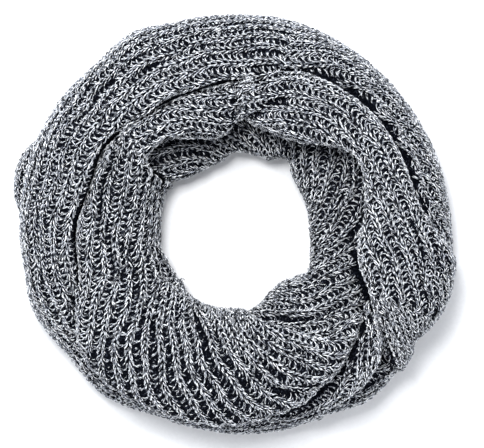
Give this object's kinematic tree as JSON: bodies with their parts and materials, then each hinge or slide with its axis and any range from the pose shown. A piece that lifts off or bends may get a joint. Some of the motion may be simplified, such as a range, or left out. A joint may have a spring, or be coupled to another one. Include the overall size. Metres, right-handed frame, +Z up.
{
  "type": "infinity scarf",
  "caption": "Chunky rib-knit infinity scarf wound into a soft ring and laid flat, with a round neck opening.",
  "frame": {"origin": "on the surface that the scarf lies on, at the middle of its footprint", "axes": "+Z up out of the surface, +X towards the picture's right, +Y towards its top"},
  "size_m": [0.3818, 0.362, 0.086],
  "materials": {
    "rib_knit": "cool grey marl yarn, knitted in a deep open rib, matt with a fine halo of fibre"
  },
  "bodies": {
    "root": {"under_turn": "rib_knit", "outer_stretch": "rib_knit", "left_stretch": "rib_knit", "right_stretch": "rib_knit"}
  },
  "joints": []
}
